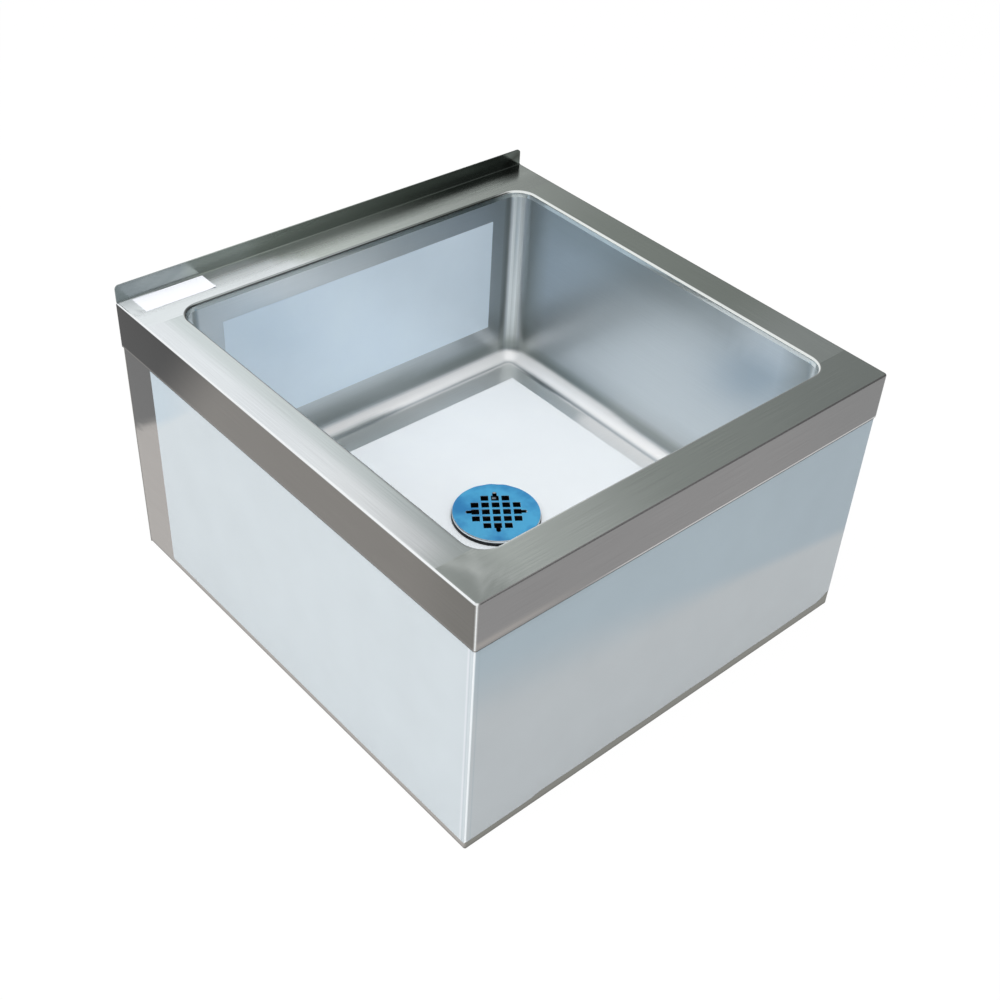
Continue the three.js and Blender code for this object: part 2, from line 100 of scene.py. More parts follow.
def linear(colour):
    """An sRGB hex colour as linear red, green and blue."""
    value = np.array([int(colour[i:i + 2], 16) for i in (1, 3, 5)]) / 255
    return np.where(value <= 0.04045, value / 12.92, ((value + 0.055) / 1.055) ** 2.4)


def feed(tree, node, inputs):
    """Sets a node's inputs by socket, to plain values or to other nodes' outputs."""
    for socket, value in inputs.items():
        if isinstance(value, bpy.types.NodeSocket):
            tree.links.new(value, node.inputs[socket])
        else:
            node.inputs[socket].default_value = value


def add_node(tree, kind, inputs=None, **settings):
    """Adds a shader node, with its inputs by socket and its own settings by name."""
    made = tree.nodes.new("ShaderNode" + kind)
    for name, value in settings.items():
        setattr(made, name, value)
    feed(tree, made, inputs or {})
    return made


def new_material(name):
    """A material, its node tree, and the surface shader in it."""
    material = bpy.data.materials.new(name)
    material.use_nodes = True
    return material, material.node_tree, material.node_tree.nodes["Principled BSDF"]


def spread(tree, value, low, high, start=0.0, end=1.0, kind="LINEAR"):
    """An output that runs from low to high as the value runs from start to end."""
    return add_node(tree, "MapRange", {
        "Value": value, "From Min": start, "From Max": end, "To Min": low, "To Max": high,
    }, interpolation_type=kind).outputs["Result"]


def scaled(tree, colour, factor):
    """A colour times a factor, as an output."""
    return add_node(tree, "VectorMath", {"Vector": colour, "Scale": factor},
                    operation="SCALE").outputs["Vector"]


def smooth(value, low, high):
    """0 below low, 1 above high, and the curve 3t^2 - 2t^3 between them."""
    t = np.clip((value - low) / (high - low), 0, 1)
    return t * t * (3 - 2 * t)


def hump(value, centre, width):
    """1 at the centre, falling off on both sides as a bell of that width."""
    return np.exp(-((value - centre) / width) ** 2)


def shade(points, base, layers=(), haze=0.0):
    """Colour and haze at each point: a base, with each (colour, weight) laid over it."""
    shape = points.shape[:-1]
    colour = np.broadcast_to(linear(base), (*shape, 3)).copy()
    for over, weight in layers:
        share = np.broadcast_to(weight, shape)[..., None]
        colour = colour * (1 - share) + linear(over) * share
    return np.concatenate([colour, np.broadcast_to(haze, shape)[..., None]], axis=-1)


def make_mesh(name, grids, sharp):
    """A mesh from grids. Each grid is (points, grain, finish and painted light) on rows by columns
    of points.
    Its quads join neighbours and face along rows x columns, and grids meet where points do."""
    corners, faces, grains, finishes_and_painted_light = [], [], [], []
    start = 0
    for points, grain, finish_and_painted_light in grids:
        rows, columns = points.shape[:2]
        index = np.arange(rows * columns).reshape(rows, columns) + start
        quad = [index[:-1, :-1], index[1:, :-1], index[1:, 1:], index[:-1, 1:]]
        faces.append(np.stack(quad, axis=-1).reshape(-1, 4))
        corners.append(points.reshape(-1, 3))
        grains.append(grain.reshape(-1, 2))
        finishes_and_painted_light.append(finish_and_painted_light.reshape(-1, 4))
        start += rows * columns
    faces = np.concatenate(faces)
    mesh = bpy.data.meshes.new(name)
    mesh.from_pydata((np.concatenate(corners) * mm).tolist(), [], faces.tolist())
    loops = faces.ravel()
    mesh.uv_layers.new(name="grain")
    mesh.uv_layers["grain"].data.foreach_set("uv", np.concatenate(grains)[loops].ravel() * mm)
    mesh.color_attributes.new("finish_and_painted_light", "FLOAT_COLOR", "CORNER")
    colours = np.concatenate(finishes_and_painted_light)[loops].ravel()
    mesh.color_attributes["finish_and_painted_light"].data.foreach_set("color", colours)
    work = bmesh.new()
    work.from_mesh(mesh)
    bmesh.ops.remove_doubles(work, verts=work.verts, dist=1e-6)
    work.to_mesh(mesh)
    work.free()
    mesh.shade_smooth()
    mesh.set_sharp_from_angle(angle=math.radians(sharp))
    return mesh


def add_piece(name, shape, material, replaced=(), body="sink", wall=0.0, sharp=35):
    """Puts a mesh or grids in the scene as a piece, with a wall laid on behind its faces."""
    mesh = shape if isinstance(shape, bpy.types.Mesh) else make_mesh(name, shape, sharp)
    piece = bpy.data.objects.new(name, mesh)
    scene.collection.objects.link(piece)
    mesh.materials.append(material)
    if wall:
        solid = piece.modifiers.new("wall", "SOLIDIFY")
        solid.thickness = wall * mm
        solid.offset = -1
        solid.use_even_offset = False
        built = piece.evaluated_get(bpy.context.evaluated_depsgraph_get())
        piece.data = bpy.data.meshes.new_from_object(built)
        piece.data.set_sharp_from_angle(angle=math.radians(35))
        piece.modifiers.clear()
    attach(piece, body)
    if replaced:
        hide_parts(*replaced)


def brushed_steel(name, roughness=0.22, streak=0.05):
    """304 stainless with a belt-ground grain: fine lines along the grain make it satin.
    Real scratches are 0.1 mm apart, too fine to show, so they are drawn 1 mm apart.
    Where haze is 1 it was ground across the grain, and scatters light like a pale paint."""
    line_spacing, line_length = 1.0, 90.0  # millimetres
    material, tree, surface = new_material(name)
    grain = add_node(tree, "UVMap", uv_map="grain")
    stretch = add_node(tree, "Mapping", {
        "Vector": grain.outputs["UV"],
        "Scale": (1 / (line_length * mm), 1 / (line_spacing * mm), 1),
    })
    lines = add_node(tree, "TexNoise", {
        "Vector": stretch.outputs["Vector"], "Scale": 1.0, "Detail": 3.0, "Roughness": 0.6,
    }, noise_dimensions="2D").outputs["Fac"]
    streaks = spread(tree, lines, 1 - streak, 1 + streak, 0.3, 0.7)
    # the colour attribute holds the steel's tone and haze, with painted reflections, highlights and
    # shade
    finish_and_painted_light = add_node(tree, "Attribute", attribute_name="finish_and_painted_light")
    haze = finish_and_painted_light.outputs["Alpha"]
    relief = add_node(tree, "Bump", {
        "Height": lines, "Strength": 0.06, "Distance": 0.0002,
    })
    feed(tree, surface, {
        "Base Color": scaled(tree, finish_and_painted_light.outputs["Color"], streaks),
        "Roughness": spread(tree, haze, roughness, 0.42),
        "Metallic": spread(tree, haze, 1.0, 0.35),
        "Normal": relief.outputs["Normal"],
        "Specular Tint": (0.85, 0.85, 0.85, 1),  # steel mirrors less than this near grazing
    })
    return material


deck_low, deck_high = extent("rim_deck")
bowl_low, bowl_high = extent("bowl_wrap")
end_low, _ = extent("bowl_left_end")
deck_top = 346.0
apron_bottom = deck_low[2]
opening_low = np.array([end_low[0] + sheet, bowl_low[1] + sheet])
opening_high = np.array([-end_low[0] - sheet, bowl_high[1] - sheet])
corner_signs = [(1, 1), (-1, 1), (-1, -1), (1, -1)]
joint_row, edge_row, last_row = 6, 12, 24  # in each corner: at its joint, at its edge, its last
side_steps = 24


def ways_at(angle):
    """Unit vectors on the plan, (cos, sin) of each angle."""
    return np.stack([np.cos(angle), np.sin(angle)], axis=-1)


def deck_corner(sign, edge_radius):
    """One corner of the flat frame, anticlockwise: its arc at the opening and its outer edge.
    The outer points go up one side to the joint, on to the corner, round it, and away.
    Without a radius, the apron and the upturn meet there square, in from the corner."""
    joint_angle = math.asin(joint_reach / (opening_radius + bend))
    angle = np.concatenate([
        np.linspace(0, joint_angle, joint_row + 1),
        np.linspace(joint_angle, math.pi / 2, last_row - joint_row + 1)[1:],
    ])
    inner_way = ways_at(angle)
    centre = np.where(sign > 0, opening_high - opening_radius, opening_low + opening_radius)
    reach = np.abs(np.where(sign > 0, deck_high[:2], deck_low[:2]) - centre)
    turn = np.linspace(0, math.pi / 2, joint_row + 1)[1:]
    if edge_radius:
        round_ways = ways_at(turn)
        cut = np.array([edge_radius, edge_radius])
    else:
        round_ways = np.tile([apron_bend / bend, 1.0], (joint_row, 1))
        cut = np.array([apron_bend, bend])
    up_side = np.concatenate([
        np.linspace(0, joint_reach, joint_row + 1),
        np.linspace(joint_reach, reach[1] - cut[1] - 0.5, edge_row - joint_row)[1:],
        [reach[1] - cut[1]],
    ])
    away = np.linspace(reach[0] - cut[0] - 0.5, 0, joint_row)
    way = np.concatenate([
        np.tile([1.0, 0.0], (len(up_side), 1)),
        round_ways,
        np.tile([0.0, 1.0], (len(away), 1)),
    ])
    place = np.concatenate([
        np.stack([np.full(len(up_side), reach[0]), up_side], axis=1),
        reach - edge_radius + edge_radius * round_ways,
        np.stack([away, np.full(len(away), reach[1])], axis=1),
    ])
    return [array[::sign.prod()] for array in (
        centre + sign * opening_radius * inner_way, sign * inner_way,
        centre + sign * place, sign * way,
    )]


def deck_ring():
    """The four corners and the straight sides between them, as one closed run of rows."""
    corners = [deck_corner(np.array(sign), front_corner_radius if sign[1] < 0 else 0.0)
               for sign in corner_signs]
    share = np.linspace(0, 1, side_steps + 1)[1:-1, None]
    run = [[], [], [], []]
    for here, after in zip(corners, corners[1:] + corners[:1]):
        for slot, array in enumerate(here):
            end = array[-1] if slot % 2 else after[slot][0]  # ways stay as they are on a side
            run[slot] += [array, array[-1] * (1 - share) + end * share]
    return [np.concatenate(pieces) for pieces in run]


def carried(section, places, ways):
    """A section of (outward offset, height) points carried along places on the plan."""
    section = np.asarray(section, float)
    plan = places[:, None] + section[None, :, :1] * ways[:, None]
    heights = np.broadcast_to(section[None, :, 1:], (*plan.shape[:2], 1))
    return np.concatenate([plan, heights], axis=-1)


def bent(centre, radius, first, last, steps=8):
    """The points of a fold: an arc of (offset, height) between two angles in degrees."""
    angle = np.radians(np.linspace(first, last, steps + 1))
    return [(centre[0] + radius * math.cos(a), centre[1] + radius * math.sin(a)) for a in angle]


def along(points):
    """Grain that runs with the rows: distance along them, and distance across."""
    row_run = np.linalg.norm(np.diff(points, axis=0), axis=-1).cumsum(axis=0)
    column_run = np.linalg.norm(np.diff(points, axis=1), axis=-1).cumsum(axis=1)
    along_rows = np.concatenate([np.zeros((1, points.shape[1])), row_run])
    across = np.concatenate([np.zeros((points.shape[0], 1)), column_run], axis=1)
    return np.stack([along_rows.mean(axis=1, keepdims=True) + 0 * across, across], axis=-1)


def grained(grid, finish_and_painted_light="#808080"):
    """A grid with grain along its rows. Its finish, with any painted light, is one colour, or a
    function of its points.
    It makes no difference to a material that has a colour of its own."""
    return grid, along(grid), shade(grid, finish_and_painted_light) if isinstance(finish_and_painted_light, str) else finish_and_painted_light(grid)


*inner_run, outer_places, outer_ways = deck_ring()
rows_round = len(outer_places)
corner_rows = rows_round // 4
joint_rows = [number * corner_rows + (last_row - joint_row if number % 2 else joint_row)
              for number in range(5)]


def strip_painted_reflections(points, strip):
    """The flat deck's tones, painted reflections of the room. Each strip was ground on its own,
    its grain running its own way, so the painted reflection turns at a joint.
    The strips are numbered back, left, front, right."""
    x, y, _ = np.moveaxis(points, -1, 0)
    if strip == 0:
        fade = hump(y, 279, 7.5) * (0.42 - 0.17 * smooth(x, -120, -80)
                                    + 0.12 * smooth(x, 80, 160) - 0.25 * smooth(x, 220, 265))
        corner = 0.9 * smooth(y, 268, 276) * (1 - smooth(x, -262, -240))
        ground = 0.24 * smooth(x, -235, -170) - 0.25 * smooth(x, -40, 190)
        # painted reflection: bright at the left end, paler to the right
        return shade(points, "#c3cbc6", [
            ("#e3e9eb", 1 - smooth(x + (y - 278) * 1.2, -112, -84)),
            ("#ced6d0", smooth(x, 60, 200)),
        ], haze=np.clip(ground + fade + corner, 0, 1))
    if strip == 1:
        # painted reflection, with painted shade along the inner edge by the opening
        return shade(points, "#e3e8eb", [
            ("#eef2f4", 1 - smooth(y, -140, 20)),
            ("#cbd4d4", 0.9 * smooth(x, -280, -260)),
            ("#ced6d4", 1 - smooth(y, -262, -205)),
        ])
    if strip == 2:
        # painted reflection: pale at the left end, darker by the near corner
        return shade(points, "#d6dfd9", [
            ("#f0f8f3", 1 - smooth(x, -160, -20)),
            ("#b6bdb9", 1 - smooth(x, -285, -215)),
            ("#f0f6f3", 0.5 * hump(x + 0.6 * y, -425, 8) + 0.4 * hump(x - 0.5 * y, -130, 6)),
            ("#d0d9d4", smooth(x, 40, 200)),
        ])
    # painted reflection, paler towards the front
    return shade(points, "#c6d0c8", [
        ("#e4ede9", 1 - smooth(y, -200, -80)),
        ("#d0d9d2", smooth(y, 90, 220)),
    ])


def past_corner(points):
    """How far each point is past the near corner, to the left: y - x, less its value there."""
    return points[..., 1] - points[..., 0] + 10


def on_left(points):
    """1 on the sink's left face, 0 on its front and right, turning over at the near corner."""
    return smooth(past_corner(points), -4, 4) * (points[..., 0] < -280)


def apron_painted_light(points):
    """Painted reflection and shade: brown-grey where the apron faces the floor, darker towards the
    back of the left side. Painted highlights run along its hem, its fold and the near corner.
    """
    x, y, z = np.moveaxis(points, -1, 0)
    left = on_left(points)
    upper = smooth(z, deck_top - apron_bend, deck_top - 0.9)
    hem = hump(z, 290, 0.9)
    return shade(points, "#878686", [
        # painted reflection: darker to the right, paler above the hem on the left, dark at the back
        # of the left
        ("#7e7e7e", smooth(x, 60, 280)),
        ("#a19d99", 0.8 * hump(z, 294, 4) * (1 - smooth(x, -280, -130))),
        ("#7d7a76", left),
        ("#73716d", left * (1 - smooth(y, -290, -200))),
        ("#323232", left * smooth(y + (z - 317) * 0.8, 105, 220)),
        # painted highlights: the hem's edge, the fold at the top and the near corner
        ("#8f8d8a", 0.8 * hem * left),
        ("#ffffff", 0.6 * hem * smooth(x, -200, -60)),
        ("#f2f5f7", left * upper),
        ("#f2f5f5", 1 - smooth(np.abs(past_corner(points)), 0.5, 2.0)),
    ], haze=np.maximum(0.4 * upper * (1 - left), 0.9 * hem * smooth(x, -200, -60)))


def upturn_painted_light(points):
    """Painted reflection and shade: mottled blue-grey at the left end, falling to nearly black where
    the wall is in shade.
    """
    x, _, z = np.moveaxis(points, -1, 0)
    mottle = 0.5 + 0.25 * np.sin(x / 4.1 + z / 3) + 0.25 * np.sin(x / 9.7 - z / 5)
    return shade(points, "#a0a9a3", [
        ("#879091", 1 - smooth(x, -215, -195)),
        ("#a8b0ae", 0.7 * mottle * (1 - smooth(x, -225, -190)) * smooth(x, -280, -240)),
        ("#878f89", smooth(x, -130, 0)),
        ("#666f68", smooth(x, -30, 130)),
        ("#626a65", smooth(x, 90, 200)),
        ("#363834", 0.8 * mottle * smooth(x, 250, 275)),
    ], haze=0.25 * (1 - smooth(x, 60, 240)))


def lip_painted_light(points):
    """The rolled edge of the opening, painted bright as a highlight. Along the back it has painted
    shade, dark under the deck.
    """
    x, y, _ = np.moveaxis(points, -1, 0)
    back = smooth(y, 236, 250) * (1 - smooth(x, 200, 222))
    return shade(points, "#e6eae8", [
        ("#a9b0b0", back),
        ("#747a76", back * smooth(x, -60, 160)),
    ])


def ring_rows(run, first, last):
    """A closed run's places and ways from one row to another, past its end if need be."""
    return [np.take(array, np.arange(first, last + 1), axis=0, mode="wrap") for array in run]


def lengthwise(places, ways, ends):
    """A run of places with one more at each end, set along the plan."""
    return (np.concatenate([ends[:1], places, ends[1:]]),
            np.concatenate([ways[:1], ways, ways[-1:]]))


deck_grids = []
fold = np.where(outer_ways[:, 1] > 0.9, bend, apron_bend)[:, None]
flat_run = outer_places - fold * outer_ways, outer_ways
for strip in range(4):
    first, last = joint_rows[strip], joint_rows[strip + 1]
    inner = carried([(bend, deck_top)], *ring_rows(inner_run, first, last))
    outer = carried([(0, deck_top)], *ring_rows(flat_run, first, last))
    share = np.array([1, 0.97, 0.88, 0.75, 0.6, 0.45, 0.3, 0.15, 0.03, 0])[:, None]
    flat = outer * share + inner * (1 - share)
    grain = flat[..., :2] if strip % 2 == 0 else flat[..., 1::-1]
    deck_grids.append((flat, grain, strip_painted_reflections(flat, strip)))

lip_bottom = deck_top - 8
lip_section = [*bent((bend, deck_top - bend), bend, 90, 180), (0, lip_bottom)]
lip = carried(lip_section, *ring_rows(inner_run, 0, rows_round))
deck_grids.append(grained(lip, lip_painted_light))

apron_heights = [0, 0.5, 1, 1.5, 2.2, 3, 4, 6, 8, 10, 13, 20, 28, 36, 44, 52]
apron_section = [
    *((0, apron_bottom + rise) for rise in apron_heights),
    *bent((-apron_bend, deck_top - apron_bend), apron_bend, 0, 90),
]
apron = carried(apron_section, *lengthwise(
    *ring_rows((outer_places, outer_ways), corner_rows + edge_row, rows_round + edge_row),
    np.array([[deck_low[0], deck_high[1]], deck_high[:2]]),
))
deck_grids.append(grained(apron, apron_painted_light))


def sheet_grid(x, y, z):
    """A grid from its x, y and z, each a number or an array over rows by columns."""
    return np.stack(np.broadcast_arrays(x, y, z), axis=-1).astype(float)


def upturn():
    """The splash edge: a fold up from the deck, then a wall whose top corners are rounded."""
    foot = [(bend - (bend - sheet) * math.sin(a), (bend - sheet) * (1 - math.cos(a)))
            for a in np.radians([0, 1, 11, 22, 34, 45, 56, 68, 79, 90])]
    height = deck_high[2] - deck_top - (bend - sheet)
    wall = [(sheet, bend - sheet + height * share) for share in (0.05, 0.3, 0.6, 0.8, 1.0)]
    left, right = deck_low[0] + 0.5, deck_high[0] - 1.0
    radius = upturn_end_radius
    round_steps = radius * (1 - np.cos(np.linspace(0, math.pi / 2, 9)))
    x = np.concatenate([
        right - round_steps,
        np.linspace(right - radius, left + radius, 40)[1:-1],
        left + round_steps[::-1],
    ])
    inside = np.minimum(right - x, x - left)
    missing = radius - np.sqrt(np.maximum(radius ** 2 - np.maximum(radius - inside, 0) ** 2, 0))
    depth, rise = np.array(foot + wall).T
    lowered = (rise[-1] - missing[:, None] - bend) / (rise[-1] - bend)
    heights = deck_top + np.where(rise < bend, rise, bend + (rise - bend) * lowered)
    return sheet_grid(x[:, None], deck_high[1] - depth, heights)[:, ::-1]


deck_grids.append(grained(upturn(), upturn_painted_light))

deck_steel = brushed_steel("brushed_304_deck", roughness=0.16)
add_piece("deck_sheet", deck_grids, deck_steel, replaced=["rim_deck"], wall=sheet)

# ---- Skirt and back panel ----
# The skirt is one brushed sheet wrapped round the front and sides, welded up inside the apron.
# It turns in at the floor and at the back, where a flat panel with its own flange closes it.

skirt_low, skirt_high = extent("skirt_wrap")
skirt_radius = 2.5
floor_flange = 25.0
back_return = 20.0
corner_steps = 8


def rounded_run(low, high, radius, steps=corner_steps, side_shares=np.arange(1, 24) / 24):
    """Places and outward ways round a rectangle with rounded corners, anticlockwise.
    Each block of rows is one corner's arc and the side after it, from the back right.
    The shares say how far along each side its rows are. A corner of radius 0 is a mitre."""
    signs = np.array(corner_signs)
    radius = np.broadcast_to(radius, 4)[:, None]
    angle = np.linspace(0, math.pi / 2, steps + 1) + np.arange(4)[:, None] * math.pi / 2
    ways = ways_at(angle)
    centres = np.where(signs > 0, high[:2], low[:2]) - signs * radius
    arcs = centres[:, None] + radius[..., None] * ways
    near = np.where(radius > 0, 0.002, 0.006)  # keeps the sides flat, and a mitre's foot clear
    share = np.tile(side_shares, (4, 1))
    share[:, :1] = np.minimum(share[:, :1], near)
    share[:, -1:] = np.maximum(share[:, -1:], 1 - np.roll(near, -1, axis=0))
    share = share[..., None]
    sides = arcs[:, -1:] * (1 - share) + np.roll(arcs[:, :1], -1, axis=0) * share
    side_ways = np.repeat(ways[:, -1:], len(side_shares), axis=1)
    corner_ways = np.where(radius[..., None] > 0, ways, signs[:, None])
    places = np.concatenate([arcs, sides], axis=1).reshape(-1, 2)
    return places, np.concatenate([corner_ways, side_ways], axis=1).reshape(-1, 2)


def skirt_painted_light(points):
    """Warm grey sheet, browner on the front, with painted reflections: paler on the left side,
    and darker high up at the back of it. A painted contact shadow darkens the foot.
    """
    _, y, z = np.moveaxis(points, -1, 0)
    left = on_left(points)
    return shade(points, "#7d7d77", [
        ("#aca8a4", left),
        ("#606060", left * smooth(z + 0.75 * (y - 307) - 173, -7, 7) * smooth(y, 100, 200)),
        # painted contact shadow along the foot
        ("#4e4b47", hump(z, 0, 3)),
    ])


skirt_side_rows = 60
skirt_block = corner_steps + skirt_side_rows
skirt_ring = rounded_run(
    skirt_low, skirt_high, [0, 0, skirt_radius, skirt_radius],
    side_shares=np.arange(1, skirt_side_rows) / skirt_side_rows)
skirt_run = lengthwise(
    *ring_rows(skirt_ring, skirt_block, 4 * skirt_block + corner_steps),
    np.array([[skirt_low[0] + back_return, skirt_high[1]],
              [skirt_high[0] - back_return, skirt_high[1]]]),
)
foot_radius = skirt_radius - 0.1
skirt_section = [
    *bent((-foot_radius, foot_radius), foot_radius, -90, 0),
    *((0, height) for height in (3, 4, 6, 9, *np.linspace(12, skirt_high[2], 48))),
]
skirt_wall = carried(skirt_section, *skirt_run)
inner_edge = skirt_wall[:, :1].copy()
inner_edge[..., :2] = np.clip(
    inner_edge[..., :2], skirt_low[:2] + floor_flange, skirt_high[:2] - floor_flange)
mitre_row = 6  # the run's row within its first mitre, and so from its end in the last
floor_edge = np.concatenate([inner_edge, skirt_wall[:, :1]], axis=1)[mitre_row:-mitre_row]

skirt_steel = brushed_steel("brushed_304_skirt")
add_piece("skirt_sheet", [grained(skirt_wall, skirt_painted_light), grained(floor_edge, skirt_painted_light)],
          skirt_steel, replaced=["skirt_wrap"], wall=sheet)

panel_low, panel_high = extent("back_panel")
panel_x = np.linspace(panel_high[0], panel_low[0], 30)[:, None]
panel_z = np.linspace(panel_low[2], panel_high[2], 20)
panel = sheet_grid(panel_x, panel_high[1], panel_z)
flange_end = floor_flange + 0.3  # clear of the skirt's own flange
flange_x = np.clip(panel_x, panel_low[0] + flange_end, panel_high[0] - flange_end)
flange_y = np.array([panel_low[1], panel_high[1] - sheet])
panel_flange = sheet_grid(flange_x, flange_y, panel_low[2])
add_piece("back_sheet", [grained(panel, "#8c8b86"), grained(panel_flange, "#8c8b86")],
          skirt_steel, replaced=["back_panel"], wall=sheet)

# ---- Bowl ----
# A front-floor-back wrap and two coved ends of the same sheet, welded and ground smooth.
# The coves are ground hazy and painted brighter than the walls, as a highlight, and the floor is
# creased to fall to the drain.

cove = 20.0
bowl_floor = 92.0
fall = 3.0
pan_half = 62.0
drain = np.array([5.0, (opening_low[1] + opening_high[1]) / 2])
drain_hole = 43.3
bowl_steps = 32
bowl_block = bowl_steps + 24
rim_low, rim_high = opening_low + opening_radius, opening_high - opening_radius


def floor_height(plan):
    """The floor's height: level round the rim, then four flats that fall to a level square."""
    shares = [(plan - rim_low) / (drain - pan_half - rim_low),
              (rim_high - plan) / (rim_high - drain - pan_half)]
    return bowl_floor - fall * np.clip(np.minimum(*shares).min(axis=-1), 0, 1)


def square_run(low, high, steps=24):
    """Points round a rectangle, anticlockwise from its back right corner and back to it."""
    turns = np.array([high, [low[0], high[1]], low, [high[0], low[1]], high])
    share = np.linspace(0, 1, steps, endpoint=False)[None, :, None]
    sides = turns[:-1, None] * (1 - share) + turns[1:, None] * share
    return np.concatenate([sides.reshape(-1, 2), turns[-1:]])


def floor_grid(low, high, hole, lift):
    """The floor between a rectangle and a round hole at the drain, raised by a lift."""
    rim = square_run(low, high)
    pan = square_run(drain - pan_half, drain + pan_half)
    ways = (pan - drain) / np.linalg.norm(pan - drain, axis=1, keepdims=True)
    fallen = [rim * (1 - share) + pan * share for share in np.linspace(0, 1, 9)]
    level_part = [pan * (1 - share) + (drain + hole * ways) * share
                  for share in np.linspace(0, 1, 5)[1:]]
    plan = np.stack(fallen + level_part, axis=1)
    return sheet_grid(plan[..., 0], plan[..., 1], floor_height(plan) + lift)


def bowl_painted_light(points):
    """Painted reflection and shade on cool grey walls, darker towards the back right and paler high
    up at the front and left. The coves at the floor are ground hazy and painted pale as a highlight,
    above a darker painted line.
    So is the bare floor along the front half of its right side. The back right corner has a painted
    pale middle between two painted dark lines, where its grinding ends."""
    x, y, z = np.moveaxis(points, -1, 0)
    down = np.degrees(np.arcsin(np.clip((bowl_floor + cove - z) / cove, 0, 1)))
    on_right = smooth(x - y, 0, 60)
    hazy_start = 12 - 10 * on_right * smooth(y, 0, 60)
    hazy_end = 45 + 17 * smooth(x, -10, 70) - 6 * on_right
    hazy_highlight = smooth(down, hazy_start, hazy_start + 20) * (
        1 - smooth(down, hazy_end, hazy_end + 20))
    bare = smooth(down, 80, 90)
    pale = smooth(x, 190, 212) * (1 - smooth(y, 82, 87)) * smooth(down, 84, 90)
    middle, straight = (rim_low + rim_high) / 2, (rim_high - rim_low) / 2
    out_x = np.abs(x - middle[0]) - straight[0]
    out_y = np.abs(y - middle[1]) - straight[1]
    round_corner = opening_radius * np.arctan2(np.maximum(out_y, 0), np.maximum(out_x, 0.01))
    past = round_corner + np.minimum(out_y, 0) - np.minimum(out_x, 0)
    wall = 1 - smooth(down, 30, 60)
    scratches = 0.5 + 0.25 * np.sin(past * 2.4) + 0.25 * np.sin(past * 0.9 + 1)
    to_right = smooth(x, 0, 150)
    line = (0.45 + 0.3 * to_right) * smooth(147 - 12 * to_right - z, 0, 16)
    near_back = on_right * smooth(y, 110, 170)
    rim = 0.9 * hump(down, 84, 6) * smooth(x, -10, 70) * (1 - near_back)
    top_left = (1 - on_right) * smooth(x, -225, -150) * (1 - smooth(x, -130, -30))
    top_front = on_right * (1 - smooth(y, -180, -110))
    return shade(points, "#cdd4d8", [
        # painted reflection and shade: darker to the back right, bands high on the walls and at the
        # back right corner
        ("#bcc3c8", smooth(np.minimum(x, y), -20, 190)),
        ("#a7afb1", 0.7 * on_right * smooth(y, -190, -90) * smooth(z, 270, 330)),
        ("#eef2f4", 0.7 * smooth(z, 290, 325) * (top_left + top_front)),
        ("#b0b6b6", wall * smooth(past, -12, -5) * (1 - smooth(past, 5, 11))),
        ("#e3e8e8", wall * smooth(past, 9, 15) * (1 - smooth(past, 25, 29))),
        ("#b6bbbb", 0.8 * wall * scratches * smooth(past, 9, 15) * (1 - smooth(past, 25, 29))),
        ("#8c9292", wall * smooth(past, 28, 32) * (1 - smooth(past, 33, 42))),
        # a darker painted line above the cove
        ("#8f9694", line * (1 - smooth(down, 12, 26))),
        ("#a4a9a8", (1 - on_right) * (1 - smooth(x, -10, 70)) * hump(down, 70, 9)),
        ("#8f9694", 0.4 * near_back * smooth(down, 58, 75)),
        ("#dfe5e5", bare * (1 - pale)),
        # painted highlight on the hazy coves and the bare floor
        ("#ffffff", np.maximum.reduce([hazy_highlight, pale, rim])),
    ], haze=np.maximum.reduce([hazy_highlight, 0.8 * pale, 0.34 * bare, rim]))


bowl_section = [
    *((0, height) for height in (lip_bottom, lip_bottom - 0.5, 320, 290, 250, 200, 160, 130, 116)),
    *bent((-cove, bowl_floor + cove), cove, 0, -90, steps=12),
    (-opening_radius + 2, bowl_floor), (-opening_radius, bowl_floor),
]
bowl_ring = rounded_run(opening_low, opening_high, opening_radius, bowl_steps)
bowl_steel = brushed_steel("brushed_304_bowl", roughness=0.32, streak=0.02)


def bowl_part(first, last, upright=False):
    """Part of the bowl's side between two rows, with its grain along or up it."""
    points = carried(bowl_section, *ring_rows(bowl_ring, first, last))
    grain = along(points)
    return points, grain[..., ::-1] if upright else grain, bowl_painted_light(points)


for name, block in (("bowl_right", 3), ("bowl_left", 1)):
    first = block * bowl_block
    arc_end, next_arc = first + bowl_steps, first + bowl_block
    parts = [
        bowl_part(first, arc_end, upright=True),
        bowl_part(arc_end, next_arc),
        bowl_part(next_arc, next_arc + bowl_steps, upright=True),
    ]
    add_piece(name, parts, bowl_steel, replaced=[name + "_end"], wall=sheet)

wrap_floor = floor_grid(rim_low, rim_high, drain_hole, 0)
wrap_grids = [
    bowl_part(bowl_steps, bowl_block),
    bowl_part(2 * bowl_block + bowl_steps, 3 * bowl_block),
    (wrap_floor, wrap_floor[..., :2], bowl_painted_light(wrap_floor)),
]
add_piece("bowl_middle", wrap_grids, bowl_steel, replaced=["bowl_wrap"],
          wall=sheet, sharp=20)

# ---- Stiffeners ----
# Two hat sections pressed from the same sheet, spot welded under the floor of the bowl.
# They run from side to side, one in front of the drain and one behind it.

crown_half = 20.0
fold_radius = 2.5


